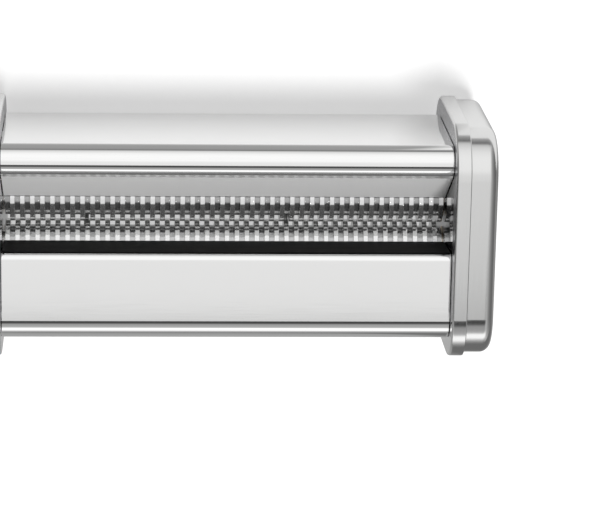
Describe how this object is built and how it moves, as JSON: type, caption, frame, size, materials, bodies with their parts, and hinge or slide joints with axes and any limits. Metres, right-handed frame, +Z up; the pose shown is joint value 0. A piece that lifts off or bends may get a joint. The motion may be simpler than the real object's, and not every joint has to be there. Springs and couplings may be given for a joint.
{
  "type": "noodle cutter unit",
  "caption": "Cutter unit of a pasta roller machine: interlocking ring rollers in a sheet steel body between end caps, turned by a hand crank.",
  "frame": {"origin": "on the table plane under the middle of the whole unit, crank included", "axes": "+X along the rollers towards the end cap without the crank, +Z up out of the feed slot, +Y towards the rear cover with the sloping guide wall"},
  "size_m": [0.2468, 0.075, 0.1195],
  "materials": {
    "polished_steel": "polished",
    "satin_steel": "satin",
    "roller_steel": "ground",
    "gear_steel": "machined",
    "bronze": "machined",
    "grip_wood": "varnished"
  },
  "bodies": {
    "frame": {"left_side_plate": "polished_steel", "right_side_plate": "polished_steel", "left_cap_band": "satin_steel", "right_cap_band": "satin_steel", "left_cap_cover": "satin_steel", "right_cap_cover": "satin_steel", "rear_cover": "polished_steel", "front_cover": "polished_steel", "left_front_bush": "bronze", "right_front_bush": "bronze", "left_rear_bush": "bronze", "right_rear_bush": "bronze", "front_comb": "polished_steel", "rear_comb": "polished_steel", "comb_stays": "satin_steel", "tie_rods": "satin_steel", "left_cap_screws": "gear_steel", "right_cap_screws": "gear_steel", "crank_bush": "bronze"},
    "drive_roller": {"front_roller": "roller_steel", "front_gear": "gear_steel", "front_roller_clips": "gear_steel", "crank_hub": "polished_steel", "crank_arm": "polished_steel", "crank_pin": "polished_steel", "crank_pin_cap": "polished_steel"},
    "driven_roller": {"rear_roller": "roller_steel", "rear_gear": "gear_steel", "rear_roller_clips": "gear_steel"},
    "grip": {"crank_grip": "grip_wood"}
  },
  "joints": [
    {"name": "drive_roller_spin", "type": "hinge", "parent": "frame", "child": "drive_roller", "pos_m": [0.04005, -0.0073, 0.03], "axis": [1, 0, 0], "continuous": true},
    {"name": "driven_roller_spin", "type": "hinge", "parent": "frame", "child": "driven_roller", "pos_m": [0.04005, 0.0073, 0.03], "axis": [1, 0, 0], "continuous": true},
    {"name": "grip_spin", "type": "hinge", "parent": "drive_roller", "child": "grip", "pos_m": [-0.06275, -0.0073, 0.11], "axis": [1, 0, 0], "continuous": true}
  ],
  "couplings": [
    {"joint": "driven_roller_spin", "follows": "drive_roller_spin", "ratio": -1}
  ]
}
